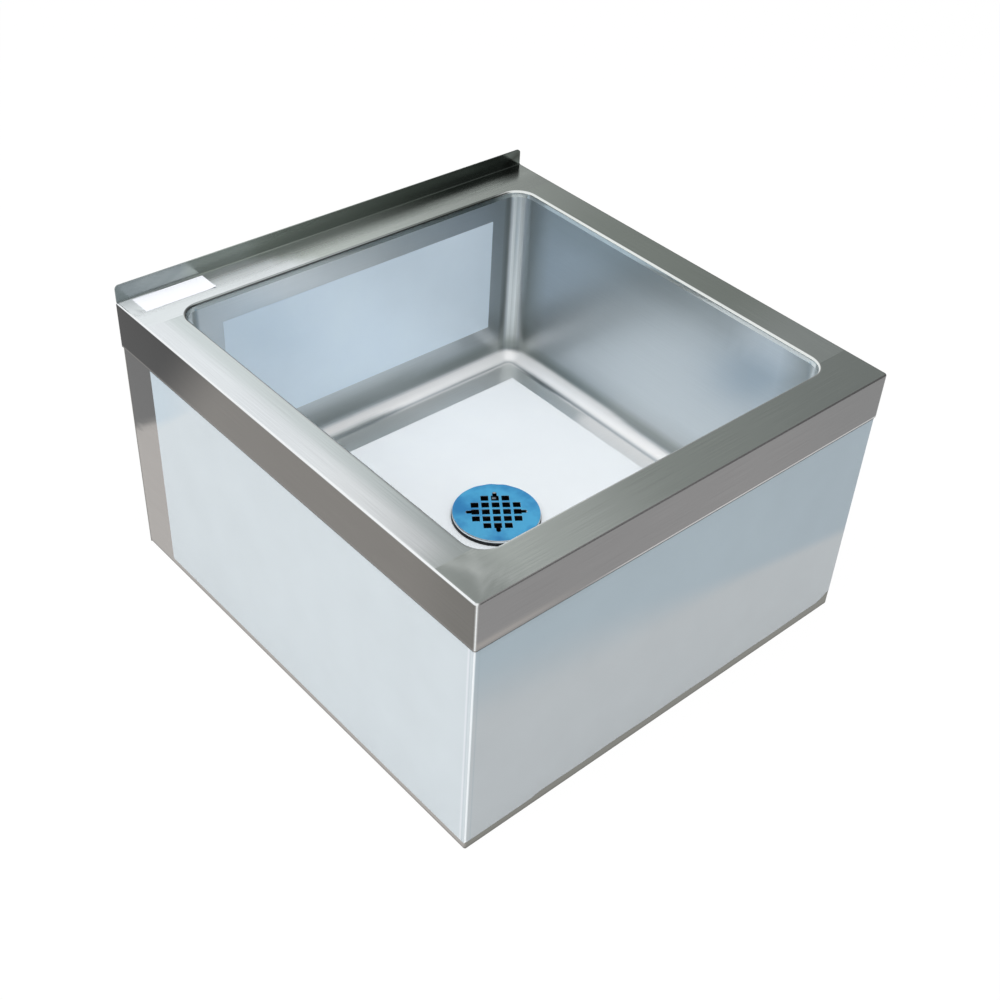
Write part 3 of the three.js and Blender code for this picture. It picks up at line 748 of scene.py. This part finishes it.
def folded(points, radius):
    """A polyline whose corners are rounded: each becomes an arc that touches both its sides."""
    points = np.asarray(points, float)
    run = [points[:1]]
    for before, corner, after in zip(points[:-2], points[1:-1], points[2:]):
        inward = (before - corner) / np.linalg.norm(before - corner)
        outward = (after - corner) / np.linalg.norm(after - corner)
        half = math.acos(np.clip(inward @ outward, -1, 1)) / 2
        middle = (inward + outward) / np.linalg.norm(inward + outward)
        centre = corner + middle * radius / math.sin(half)
        first = corner + inward * radius / math.tan(half) - centre
        last = corner + outward * radius / math.tan(half) - centre
        share = np.linspace(0, 1, 7)[:, None]
        arc = first * (1 - share) + last * share
        run.append(centre + radius * arc / np.linalg.norm(arc, axis=1, keepdims=True))
    return np.concatenate([*run, points[-1:]])


for side in ("front", "back"):
    low, high = extent(side + "_stiffener")
    middle = (low[1] + high[1]) / 2
    near, far, brim = middle - crown_half, middle + crown_half, high[2] - sheet
    hat = folded([(low[1], brim), (near, brim), (near, low[2]),
                  (far, low[2]), (far, brim), (high[1], brim)], fold_radius)
    length = np.linspace(high[0], low[0], 20)[:, None]
    add_piece("stiffener_" + side, [grained(sheet_grid(length, *hat.T), skirt_painted_light)],
              skirt_steel, replaced=[side + "_stiffener"], wall=sheet)

# ---- Drain fitting ----
# A moulded black body drops through the floor on its flange, and a lugged nut below clamps it
# up against a rubber ring and a fibre washer. Inside, a notched nut squeezes a rubber gasket.


def clouds(tree, size, detail):
    """Soft noise fixed to the piece, as an output. Its size is in millimetres."""
    place = add_node(tree, "TexCoord")
    return add_node(tree, "TexNoise", {
        "Vector": place.outputs["Object"], "Scale": 1 / (size * mm), "Detail": detail,
    }).outputs["Fac"]


def moulded(name, colour, roughness, grit, relief):
    """A plain moulded or cut material: one colour, mottled and roughened by a fine grit.
    The grit is the size of the surface's real texture in millimetres."""
    material, tree, surface = new_material(name)
    speckle = clouds(tree, grit, 3.0)
    bumps = add_node(tree, "Bump", {
        "Height": speckle, "Strength": relief, "Distance": 0.0003,
    })
    feed(tree, surface, {
        "Base Color": scaled(tree, tuple(linear(colour)), spread(tree, speckle, 0.8, 1.2)),
        "Normal": bumps.outputs["Normal"], "Roughness": roughness, "Specular IOR Level": 0.2,
    })
    return material


def turned(profile, steps=96):
    """A closed profile of (radius, height) points turned about the drain's axis.
    The profile goes up its outside and down its inside."""
    angle = np.linspace(0, 2 * math.pi, steps + 1)
    return carried([*profile, profile[0]], np.tile(drain, (steps + 1, 1)), ways_at(angle))


def eased(profile, size=0.4):
    """The same closed profile with each corner cut back to a small flat."""
    profile = np.asarray(profile, float)
    before, after = np.roll(profile, 1, axis=0), np.roll(profile, -1, axis=0)
    cuts = [profile + size * (other - profile) / np.linalg.norm(
        other - profile, axis=1, keepdims=True) for other in (before, after)]
    return np.stack(cuts, axis=1).reshape(-1, 2)


def ring_in(low, high, inside, ease=0.4):
    """The profile of a plain ring: it fills a box, from an inside radius outwards."""
    outside = (high[0] - low[0]) / 2
    return eased([
        (inside, low[2]), (outside, low[2]), (outside, high[2]), (inside, high[2])], ease)


def off_mark(grid, turn, count, radius):
    """How far round a circle each point is from the nearest of a count of equal marks, in mm."""
    angle = np.arctan2(grid[..., 1] - drain[1], grid[..., 0] - drain[0]) - turn
    half = math.pi / count
    return np.abs((angle + half) % (2 * half) - half) * radius


black_abs = moulded("moulded_black_abs", "#17191c", roughness=0.42, grit=0.8, relief=0.15)
black_rubber = moulded("black_epdm_rubber", "#1d1f21", roughness=0.75, grit=0.5, relief=0.3)
pressed_fibre = moulded("pressed_fibre", "#84705a", roughness=0.9, grit=0.6, relief=0.4)

body_low, body_high = extent("outlet_body")
barrel, throat, pipe_hole, seat = 43.0, 39.0, 31.0, 6.0
flange_radius = (body_high[0] - body_low[0]) / 2
flange_thickness = 4.0
body_profile = eased([
    (pipe_hole, body_low[2]), (barrel, body_low[2]), (barrel, body_high[2] - flange_thickness),
    (flange_radius, body_high[2] - flange_thickness), (flange_radius, body_high[2]),
    (throat, body_high[2]), (throat, body_low[2] + seat), (pipe_hole, body_low[2] + seat),
])
add_piece("drain_body", [grained(turned(body_profile))], black_abs,
          replaced=["outlet_body"])

fit = 0.3  # round the barrel
for name, node, material, slot, inside, ease in (
    ("drain_seal", "floor_seal", black_rubber, "black_rubber", barrel + fit, 0.25),
    ("drain_washer", "friction_washer", pressed_fibre, "grey_fibre", barrel + fit, 0.25),
    ("pipe_ring", "pipe_gasket", black_rubber, "black_rubber", 30.5, 1.2),
):
    ring = turned(ring_in(*extent(node), inside, ease))
    add_piece(name, [grained(ring)], material, replaced=[node])

nut_low, nut_high = extent("locknut")
lug_count, lug_reach, lug_width = 8, 4.0, 12.0
lug_radius = (nut_high[0] - nut_low[0]) / 2
nut = turned(ring_in(nut_low, nut_high, barrel + fit), steps=720)
nut_reach = np.linalg.norm(nut[..., :2] - drain, axis=-1)
off_lug = off_mark(nut, 0, lug_count, lug_radius)
drop = lug_reach * smooth(off_lug, lug_width / 2, lug_width / 2 + 1)
drop *= nut_reach > (barrel + lug_radius) / 2
nut[..., :2] = drain + (nut[..., :2] - drain) * (1 - drop / nut_reach)[..., None]
add_piece("clamp_nut", [grained(nut)], black_abs, replaced=["locknut"])

squeeze_low, squeeze_high = extent("compression_nut")
notch_count, notch_half, notch_depth = 4, 3.5, 5.0
drain_turn = math.radians(-36.5)
squeeze = turned(ring_in(squeeze_low, squeeze_high, 31.5), steps=720)
off_notch = off_mark(squeeze, drain_turn, notch_count, throat)
notch = notch_depth * (1 - smooth(off_notch, notch_half, notch_half + 0.6))
squeeze[..., 2] -= notch * (squeeze[..., 2] > (squeeze_low[2] + squeeze_high[2]) / 2)
add_piece("squeeze_nut", [grained(squeeze)], black_abs,
          replaced=["compression_nut"])

# ---- Strainer ----
# A disc of stainless, pierced with 21 square holes, its rim rolled down and plated bright.
# Four tabs snap into the body, and the maker's blue film is still stuck over the disc.

strainer_low, strainer_high = extent("strainer")
strainer_radius = (strainer_high[0] - strainer_low[0]) / 2
plate_thickness = 1.2
hole_pitch, hole_size = 12.8, 9.3
slot_width, slot_end = 5.4, 37.4


def spun(points, turn):
    """Points on the plan, turned anticlockwise by an angle about the middle."""
    cos, sin = math.cos(turn), math.sin(turn)
    return points @ np.array([[cos, sin], [-sin, cos]])


def hole_outlines(grow):
    """The strainer's holes: rows of 3, 5, 5, 5 and 3 squares, larger by a little.
    The middle hole of each outer row runs outwards into a slot with a blunt point."""
    half = hole_size / 2 + grow
    narrow = slot_width / 2 + grow
    outlines = []
    for row in range(-2, 3):
        for column in range(-2, 3):
            far = abs(row) + abs(column)
            if far == 4:
                continue
            slotted = far == 2 and row * column == 0
            reach = slot_end + grow - hole_pitch * 2
            slot = [(half, -narrow), (reach - 1.6, -narrow), (reach, -narrow * 0.4),
                    (reach, narrow * 0.4), (reach - 1.6, narrow), (half, narrow)]
            corners = [(half, -half), *(slot if slotted else []),
                       (half, half), (-half, half), (-half, -half)]
            turn = math.atan2(row, column) if slotted else 0.0
            outlines.append(spun(np.array(corners), turn) + np.array([column, row]) * hole_pitch)
    return outlines


def pierced(name, rim, holes, bottom, thickness, bevel):
    """A flat plate cut by a rim outline and holes, then turned and set over the drain."""
    curve = bpy.data.curves.new(name, "CURVE")
    curve.dimensions = "2D"
    curve.fill_mode = "BOTH"
    curve.bevel_depth = bevel
    curve.bevel_resolution = 2
    curve.offset = -bevel
    curve.extrude = thickness / 2 - bevel
    for outline in (rim, *holes):
        spline = curve.splines.new("POLY")
        spline.points.add(len(outline) - 1)
        placed = np.zeros((len(outline), 4))
        placed[:, :2] = outline
        spline.points.foreach_set("co", placed.ravel())
        spline.use_cyclic_u = True
    flat = bpy.data.objects.new(name, curve)
    mesh = bpy.data.meshes.new_from_object(flat)
    bpy.data.objects.remove(flat)
    bpy.data.curves.remove(curve)
    points = np.zeros(len(mesh.vertices) * 3)
    mesh.vertices.foreach_get("co", points)
    points = points.reshape(-1, 3)
    points[:, :2] = spun(points[:, :2], drain_turn) + drain
    points[:, 2] += bottom + thickness / 2
    mesh.vertices.foreach_set("co", (points * mm).ravel())
    mesh.update()
    mesh.set_sharp_from_angle(angle=math.radians(35))
    return mesh


bright_plate, plate_tree, plate_surface = new_material("bright_plated_stainless")
feed(plate_tree, plate_surface, {
    "Base Color": (*linear("#dfe4e7"), 1), "Metallic": 1.0,
    "Roughness": spread(plate_tree, clouds(plate_tree, 4, 4.0), 0.06, 0.16),
})

rolled_edge = strainer_radius - 2.0
plate_bottom = strainer_high[2] - plate_thickness
disc_angle = np.linspace(0, 2 * math.pi, 144, endpoint=False)
add_piece("strainer_plate", pierced(
    "strainer_plate", rolled_edge * ways_at(disc_angle), hole_outlines(0), plate_bottom,
    plate_thickness, 0.15,
), bright_plate, replaced=["strainer"], body="strainer")

rim_bottom = body_high[2] + fit
roll = 1.8  # radius of the rim's turn
rim_profile = [
    (strainer_radius - plate_thickness, rim_bottom), (strainer_radius, rim_bottom),
    *bent((strainer_radius - roll, strainer_high[2] - roll), roll, 0, 90),
    (rolled_edge, strainer_high[2]), (rolled_edge, plate_bottom),
    (strainer_radius - roll, plate_bottom),
    (strainer_radius - plate_thickness, plate_bottom - 0.6),
]
add_piece("strainer_rim", [grained(turned(rim_profile, 144))], bright_plate,
          body="strainer")

tab_width, tab_length = 5.0, 9.0
tab_path = folded([
    (slot_end, plate_bottom + 0.2), (slot_end, plate_bottom - 4.5),
    (slot_end + 0.6, plate_bottom - 6.5), (slot_end - 0.8, plate_bottom - tab_length),
], 1.0)
tab_reach, tab_height = tab_path[::-1].T
tab_side = np.linspace(-tab_width / 2, tab_width / 2, 5)[:, None]
tabs = []
for quarter in range(4):
    tab = sheet_grid(tab_reach, tab_side, tab_height)
    tab[..., :2] = drain + spun(tab[..., :2], drain_turn + quarter * math.pi / 2)
    tabs.append(grained(tab))
add_piece("strainer_tabs", tabs, bright_plate, body="strainer", wall=1.0)

film_low, film_high = extent("strainer_film")
film_turn = disc_angle + drain_turn
film_rim = strainer_radius - 0.7 - 0.5 * hump(film_turn % (2 * math.pi), 0.9, 0.5) * (
    1 + np.sin(film_turn * 17))
blue_film, blue_tree, blue_surface = new_material("blue_polyethylene_film")
blue_place = add_node(blue_tree, "TexCoord")
# a darker round patch in the blue, round one point over the disc
from_dark_spot = add_node(blue_tree, "VectorMath", {
    0: blue_place.outputs["Object"], 1: (-0.020, 0.030, 0.097),
}, operation="DISTANCE")
dark_spot = spread(blue_tree, from_dark_spot.outputs["Value"], 0.28, 0.0, 0.008, 0.03, "SMOOTHSTEP")
blue_depth = add_node(blue_tree, "Math", {0: clouds(blue_tree, 30, 3.0), 1: dark_spot},
                      operation="SUBTRACT")
blue_tones = add_node(blue_tree, "ValToRGB", {"Fac": blue_depth.outputs["Value"]})
for stop, (place, colour) in enumerate(((0.3, "#2a84bf"), (0.55, "#4bacdb"))):
    blue_tones.color_ramp.elements[stop].position = place
    blue_tones.color_ramp.elements[stop].color = (*linear(colour), 1)
feed(blue_tree, blue_surface, {"Base Color": blue_tones.outputs["Color"], "Roughness": 0.3})
add_piece("strainer_cover", pierced(
    "strainer_cover", film_rim[:, None] * ways_at(disc_angle), hole_outlines(0.1),
    film_low[2], film_high[2] - film_low[2], 0.04,
), blue_film, replaced=["strainer_film"], body="strainer")

# ---- Protective film ----
# Thin polyethylene, stuck on at the mill and left on the skirt, the back wall and the floor.
# It looks pale blue over the steel, has painted crease lines and a painted highlight where it turns
# a corner, and has a torn edge.

film_thickness = 0.1

# Clear film over brushed steel is pale, bluish and soft, with a low sheen. The steel below
# shows through as much as the haze channel says, as a metal reflection.
clear_film, clear_tree, clear_surface = new_material("clear_polyethylene_film")
# the colour attribute holds the film's tone, with painted light: a paler side, crease lines and a
# corner highlight
clear_tone_and_painted_light = add_node(clear_tree, "Attribute", attribute_name="finish_and_painted_light")
ripple = spread(clear_tree, clouds(clear_tree, 60, 2.0), 0.96, 1.04)
feed(clear_tree, clear_surface, {
    "Base Color": scaled(clear_tree, clear_tone_and_painted_light.outputs["Color"], ripple),
    "Metallic": clear_tone_and_painted_light.outputs["Alpha"], "Roughness": 0.35,
})
cover_low, cover_high = extent("skirt_film")


def cover_painted_light(points):
    """Paler on the left than on the front, as painted light, and bluer near the top. Painted crease
    lines stand beside the corner, and a painted white highlight along it.
    """
    x, y, z = np.moveaxis(points, -1, 0)
    left = on_left(points)
    soft = 10 + 40 * smooth(-x, -150, 200)
    high_front = smooth(z + 0.18 * (x + 240) - 218, -soft, soft)
    high_left = smooth(z + 0.84 * (y - 248) - 212, -5, 5)
    past = past_corner(points)
    return shade(points, "#bac1c5", [
        ("#a6b7c1", high_front),
        ("#9eafba", high_front * smooth(x, 60, 260) * 0.6),
        ("#cad3d8", left),
        ("#bccbd5", left * high_left * smooth(y, 120, 240)),
        # painted crease lines and a painted highlight along the near corner
        ("#9fb0b8", 0.5 * hump(past, -6.5, 0.7) + 0.3 * hump(past, 5.5, 0.7)),
        ("#e6e9ef", 0.6 * hump(past, 8, 1.2)),
        ("#f4f9fc", 1 - smooth(np.abs(past), 0.6, 2.0)),
    ])


crease_shares = np.arange(1, 20) * 0.5 / (skirt_high[0] - skirt_low[0])  # every 0.5 mm
cover_shares = np.concatenate([crease_shares, np.arange(2, 79) / 80, 1 - crease_shares[::-1]])
cover_ring = rounded_run(skirt_low, skirt_high, skirt_radius, side_shares=cover_shares)
cover_block, mid_corner = corner_steps + 1 + len(cover_shares), corner_steps // 2
cover_places, cover_ways = ring_rows(
    cover_ring, cover_block + mid_corner, 4 * cover_block + mid_corner)
cover_places[:, 1] = np.minimum(cover_places[:, 1], cover_high[1])
cover_section = [(0.25, share) for share in np.linspace(0, 1, 41)]
cover = carried(cover_section, cover_places, cover_ways)
cover_x, cover_y = cover_places.T
tear = (2 + 2.5 * smooth(cover_x, -200, -194) + 9 * smooth(cover_x, 268, 292)
        + 0.4 * np.sin(cover_x / 17) * smooth(cover_x, -190, -150))
cover_bottom = (cover_low[2] + (cover_y < skirt_low[1] + 1) * tear)[:, None]
cover[..., 2] = cover_bottom * (1 - cover[..., 2]) + cover_high[2] * cover[..., 2]
add_piece("skirt_cover", [grained(cover, cover_painted_light)], clear_film,
          replaced=["skirt_film"], wall=film_thickness)

wall_low, wall_high = extent("back_wall_film")
wall_x = np.linspace(wall_high[0], wall_low[0], 50)[:, None]
wall_z = np.linspace(wall_high[2], wall_low[2], 25)
wall_cover = sheet_grid(wall_x, wall_low[1] + 0.1, wall_z)
wall_tone = shade(wall_cover, "#e4f3ff", haze=0.45 - 0.3 * smooth(wall_cover[..., 0], 0, 150))
add_piece("wall_cover", [(wall_cover, along(wall_cover), wall_tone)], clear_film,
          replaced=["back_wall_film"], wall=film_thickness)

floor_low, floor_high = extent("bowl_floor_film")
floor_cover = floor_grid(floor_low[:2], floor_high[:2], flange_radius + 0.4, 0.25)
add_piece("floor_cover", [grained(floor_cover, "#f8fcff")], clear_film,
          replaced=["bowl_floor_film"], wall=film_thickness, sharp=20)

# ---- Label ----
# A white paper sticker on the back left of the deck, left blank here.
# It is stuck flat, and one of its corners has begun to lift.

label_low, label_high = extent("deck_label")
label_x = np.linspace(label_low[0], label_high[0], 30)[:, None]
label_y = np.linspace(label_low[1], label_high[1], 12)
near_corner = label_high[0] - label_low[1]
corner_lift = 0.8 * smooth(label_x - label_y, near_corner - 9, near_corner)
label = sheet_grid(label_x, label_y, label_low[2] + 0.1 + corner_lift)
paper = moulded("white_sticker_paper", "#f3f5fb", roughness=0.55, grit=0.4, relief=0.05)
add_piece("blank_label", [grained(label, "#ffffff")], paper,
          replaced=["deck_label"], wall=0.1)

# ---- Studio ----
# A white room and floor, with one wide soft lamp over the bowl and one to the left.
# Metal mirrors the room, which is white behind the sink and darkens towards the front right.

scene.view_settings.view_transform = "Standard"
room_light = 0.6
room_tones = [  # bearing from +X in degrees, and how bright the room looks there in metal
    (-180, 1.0), (-100, 1.0), (-80, 0.75), (-68, 0.35), (-60, 0.13), (-50, 0.08), (-20, 0.08),
    (10, 0.13), (30, 0.24), (45, 0.33), (50, 0.5), (54, 0.85), (60, 1.0), (180, 1.0),
]
zenith_tone = 1.0


def either(tree, first, second):
    """The larger of two outputs, which is 1 for a ray of either kind."""
    return add_node(tree, "Math", {0: first, 1: second}, operation="MAXIMUM").outputs["Value"]


world = bpy.data.worlds.new("white_room")
world.use_nodes = True
scene.world = world
room = world.node_tree
direction = add_node(room, "TexCoord")
bearing = add_node(room, "TexGradient", {"Vector": direction.outputs["Generated"]},
                   gradient_type="RADIAL")
tones = add_node(room, "ValToRGB", {"Fac": bearing.outputs["Fac"]})
stops = tones.color_ramp.elements
for number, (degrees, tone) in enumerate(room_tones):
    stop = stops[number] if number < 2 else stops.new(1.0)
    stop.position = degrees / 360 + 0.5
    stop.color = (tone, tone, tone, 1)
height = add_node(room, "SeparateXYZ", {"Vector": direction.outputs["Generated"]})
overhead = spread(room, height.outputs["Z"], 0.0, 1.0, 0.68, 0.88, "SMOOTHSTEP")
mirrored = add_node(room, "Mix", {
    "Factor": overhead, "A": tones.outputs["Color"], "B": zenith_tone,
})
ray = add_node(room, "LightPath")
in_metal = add_node(room, "Mix", {
    "Factor": ray.outputs["Is Glossy Ray"], "A": room_light, "B": mirrored.outputs["Result"],
})
brightness = add_node(room, "Mix", {
    "Factor": either(room, ray.outputs["Is Camera Ray"], ray.outputs["Is Transmission Ray"]),
    "A": in_metal.outputs["Result"], "B": 1.0,
})
feed(room, room.nodes["Background"], {
    "Color": (1, 1, 1, 1), "Strength": brightness.outputs["Result"],
})

ground = bpy.data.meshes.new("ground")
ground_half, shaded_half = 12.0, 0.28  # metres: the floor under the sink stays in its shade
ground.from_pydata([(x * half, y * half, 0) for half in (shaded_half, ground_half) for x, y in
                    ((-1, -1), (1, -1), (1, 1), (-1, 1))], [],
                   [(0, 1, 2, 3), (4, 5, 1, 0), (5, 6, 2, 1), (6, 7, 3, 2), (7, 4, 0, 3)])
floor_white, floor_tree, floor_surface = new_material("white_painted_floor")
floor_tree.nodes.remove(floor_surface)
floor_ray = add_node(floor_tree, "LightPath")
mirrored_or_through = either(floor_tree, floor_ray.outputs["Is Glossy Ray"],
                             floor_ray.outputs["Is Transmission Ray"])
whiteness = add_node(floor_tree, "Math", {
    0: either(floor_tree, floor_ray.outputs["Is Camera Ray"], mirrored_or_through),
    1: 0.96,  # the rest keeps the shadow
}, operation="MULTIPLY")
paint = add_node(floor_tree, "BsdfDiffuse", {"Color": (0.85, 0.85, 0.85, 1)})
glow = add_node(floor_tree, "Emission", {"Strength": 1.015})
blend = add_node(floor_tree, "MixShader", {
    "Fac": whiteness.outputs["Value"], 1: paint.outputs["BSDF"], 2: glow.outputs["Emission"],
})
feed(floor_tree, floor_tree.nodes["Material Output"], {"Surface": blend.outputs["Shader"]})
ground.materials.append(floor_white)
# painted shade: a dark square of floor under the sink, so the drain's holes don't show the glowing
# white floor
ground.materials.append(moulded("shaded_floor", "#4a4a4a", roughness=0.9, grit=3.0, relief=0.2))
ground.polygons[0].material_index = 1
ground_object = bpy.data.objects.new("ground", ground)
scene.collection.objects.link(ground_object)

for name, place, width, radiance in (
    ("lamp_over_bowl", (-0.2, -0.5, 2.6), 2.0, 2.6),
    ("lamp_left", (-3.0, 0.1, 2.0), 2.0, 2.8),
):
    lamp = bpy.data.objects.new(name, bpy.data.lights.new(name, "AREA"))
    lamp.data.size = width
    lamp.data.energy = radiance * math.pi * width ** 2
    lamp.visible_glossy = False  # metal mirrors only the room, which never clips to white
    aim = Vector((0, 0, 0.2)) - Vector(place)
    lamp.matrix_world = Matrix.Translation(place) @ aim.to_track_quat("-Z", "Y").to_matrix().to_4x4()
    scene.collection.objects.link(lamp)
